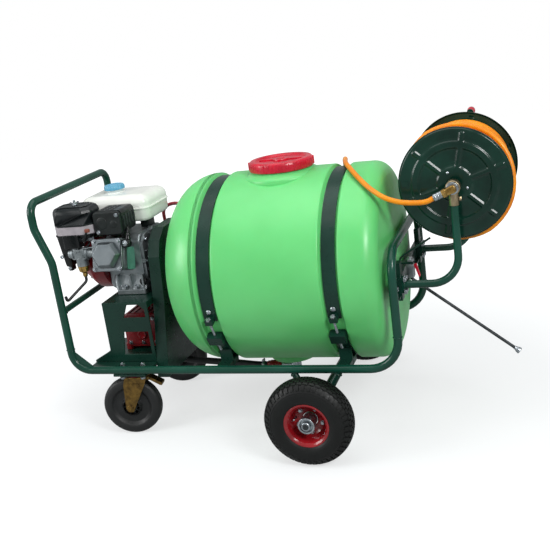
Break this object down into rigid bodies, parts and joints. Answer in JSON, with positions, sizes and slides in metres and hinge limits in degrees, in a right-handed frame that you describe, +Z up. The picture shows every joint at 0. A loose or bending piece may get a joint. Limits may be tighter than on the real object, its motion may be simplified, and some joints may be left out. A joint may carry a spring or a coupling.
{
  "type": "wheeled sprayer cart",
  "caption": "Push cart with a lying spray tank, petrol engine and belt-driven pump on a tube frame with wheels, swivel casters and a hose reel beside its spray lance.",
  "frame": {"origin": "centre of the footprint box, on the ground", "axes": "+X towards the hose reel, along the cart's length, -Y the side with the reel's hose inlet, +Z up"},
  "size_m": [1.4344, 0.834, 0.885],
  "materials": {
    "green_paint": "gloss dark green coating",
    "tank_plastic": "semi-gloss moulded bright green",
    "red_plastic": "gloss moulded red",
    "red_paint": "gloss red coating",
    "tyre_rubber": "matt black tread rubber",
    "caster_rubber": "satin black rubber",
    "belt_rubber": "matt black",
    "zinc_yellow": "yellow-passivated zinc plate",
    "zinc": "bright zinc plate",
    "cast_aluminium": "as cast",
    "cast_iron": "oiled, dark",
    "brass": "turned",
    "black_plastic": "satin moulded black",
    "muffler_black": "matt heatproof black",
    "white_paint": "gloss white",
    "maroon_cast": "gloss maroon paint on castings",
    "blue_plastic": "moulded blue",
    "orange_hose": "satin orange hose jacket",
    "black_hose": "satin black",
    "red_hose": "satin red"
  },
  "bodies": {
    "cart": {"rail_near": "green_paint", "rail_far": "green_paint", "handle_loop": "green_paint", "handle_brace": "green_paint", "end_hoop": "green_paint", "cross_plate": "green_paint", "engine_stand": "green_paint", "pump_tray": "green_paint", "caster_crossbar": "green_paint", "belt_guard": "green_paint", "axle_frame": "green_paint", "strap_left": "green_paint", "strap_right": "green_paint", "saddle_left": "green_paint", "saddle_right": "green_paint", "reel_bracket_near": "green_paint", "reel_bracket_far": "green_paint", "tank": "tank_plastic", "outlet_valve": "red_paint", "drive_belt": "belt_rubber", "sump_fitting": "zinc", "crankcase": "cast_aluminium", "cylinder_head": "cast_aluminium", "valve_cover": "cast_aluminium", "carburettor": "brass", "swivel_elbow": "brass", "air_cleaner": "black_plastic", "muffler": "muffler_black", "fuel_tank": "white_paint", "fan_housing": "maroon_cast", "recoil_starter": "maroon_cast", "pump_body": "maroon_cast", "delivery_hose": "orange_hose", "suction_hose": "black_hose", "return_hose": "red_hose"},
    "wheel_near": {"tyre_near": "tyre_rubber", "rim_near": "red_paint"},
    "wheel_far": {"tyre_far": "tyre_rubber", "rim_far": "red_paint"},
    "caster_near": {"caster_fork_near": "zinc_yellow"},
    "caster_far": {"caster_fork_far": "zinc_yellow"},
    "caster_roller_near": {"caster_wheel_near": "caster_rubber"},
    "caster_roller_far": {"caster_wheel_far": "caster_rubber"},
    "pedal_near": {"caster_pedal_near": "zinc_yellow"},
    "pedal_far": {"caster_pedal_far": "zinc_yellow"},
    "reel": {"reel_disc_near": "green_paint", "reel_disc_far": "green_paint", "reel_core": "green_paint", "reel_hose": "orange_hose"},
    "reel_knob": {"crank_knob": "red_plastic"},
    "lid": {"tank_lid": "red_plastic"},
    "cap": {"fuel_cap": "blue_plastic"},
    "drain_handle": {"outlet_lever": "red_plastic"},
    "starter_grip": {"recoil_grip": "black_plastic"},
    "drive_pulley": {"engine_pulley": "cast_iron"},
    "driven_pulley": {"pump_pulley": "cast_iron"},
    "pressure_lever": {"regulator_lever": "red_plastic"},
    "throttle": {"throttle_lever": "black_plastic"},
    "gun": {"spray_gun": "cast_aluminium"},
    "trigger": {"gun_trigger": "red_plastic"}
  },
  "joints": [
    {"name": "wheel_spin_near", "type": "hinge", "parent": "cart", "child": "wheel_near", "pos_m": [0.13238, -0.375, 0.13], "axis": [0, 1, 0], "continuous": true},
    {"name": "caster_swivel_near", "type": "hinge", "parent": "cart", "child": "caster_near", "pos_m": [-0.47262, -0.2, 0.205], "axis": [0, 0, 1], "continuous": true},
    {"name": "caster_spin_near", "type": "hinge", "parent": "caster_near", "child": "caster_roller_near", "pos_m": [-0.50725, -0.20511, 0.095], "axis": [-0.1461, 0.9893, 0], "continuous": true},
    {"name": "pedal_press_near", "type": "hinge", "parent": "caster_near", "child": "pedal_near", "pos_m": [-0.43503, -0.19445, 0.187], "axis": [-0.1461, 0.9893, 0], "range_deg": [0, 12]},
    {"name": "wheel_spin_far", "type": "hinge", "parent": "cart", "child": "wheel_far", "pos_m": [0.13238, 0.375, 0.13], "axis": [0, 1, 0], "continuous": true},
    {"name": "caster_swivel_far", "type": "hinge", "parent": "cart", "child": "caster_far", "pos_m": [-0.47262, 0.2, 0.205], "axis": [0, 0, 1], "continuous": true},
    {"name": "caster_spin_far", "type": "hinge", "parent": "caster_far", "child": "caster_roller_far", "pos_m": [-0.50725, 0.19489, 0.095], "axis": [-0.1461, 0.9893, 0], "continuous": true},
    {"name": "pedal_press_far", "type": "hinge", "parent": "caster_far", "child": "pedal_far", "pos_m": [-0.43503, 0.20555, 0.187], "axis": [-0.1461, 0.9893, 0], "range_deg": [0, 12]},
    {"name": "reel_spin", "type": "hinge", "parent": "cart", "child": "reel", "pos_m": [0.55738, 0, 0.73], "axis": [0, 1, 0], "continuous": true},
    {"name": "knob_spin", "type": "hinge", "parent": "reel", "child": "reel_knob", "pos_m": [0.57838, 0.224, 0.873], "axis": [0, 1, 0], "continuous": true},
    {"name": "lid_lift", "type": "slide", "parent": "cart", "child": "lid", "axis": [0, 0, 1], "range_m": [0, 0.12]},
    {"name": "cap_lift", "type": "slide", "parent": "cart", "child": "cap", "axis": [0, 0, 1], "range_m": [0, 0.08]},
    {"name": "drain_turn", "type": "hinge", "parent": "cart", "child": "drain_handle", "pos_m": [-0.08077, -0.028, 0.141], "axis": [0, 1, 0], "range_deg": [-90, 0]},
    {"name": "starter_pull", "type": "slide", "parent": "cart", "child": "starter_grip", "axis": [-0.6, 0.8, 0], "range_m": [0, 0.5], "stiffness_N_per_m": 30},
    {"name": "driven_spin", "type": "hinge", "parent": "cart", "child": "driven_pulley", "pos_m": [-0.38262, 0, 0.3], "axis": [1, 0, 0], "continuous": true},
    {"name": "drive_spin", "type": "hinge", "parent": "cart", "child": "drive_pulley", "pos_m": [-0.38262, 0, 0.538], "axis": [1, 0, 0], "continuous": true},
    {"name": "pressure_turn", "type": "hinge", "parent": "cart", "child": "pressure_lever", "pos_m": [-0.54162, 0.065, 0.377], "axis": [0, 0, 1], "range_deg": [0, 60]},
    {"name": "throttle_turn", "type": "hinge", "parent": "cart", "child": "throttle", "pos_m": [-0.58962, -0.14, 0.64], "axis": [0, 1, 0], "range_deg": [0, 30]},
    {"name": "gun_take_out", "type": "slide", "parent": "cart", "child": "gun", "axis": [1, 0, 0], "range_m": [0, 0.25]},
    {"name": "trigger_pull", "type": "hinge", "parent": "gun", "child": "trigger", "pos_m": [0.42338, -0.1, 0.4905], "axis": [0, 1, 0], "range_deg": [0, 12], "stiffness_Nm_per_rad": 0.2}
  ],
  "couplings": [
    {"joint": "drive_spin", "follows": "driven_spin", "ratio": 2.1053}
  ]
}
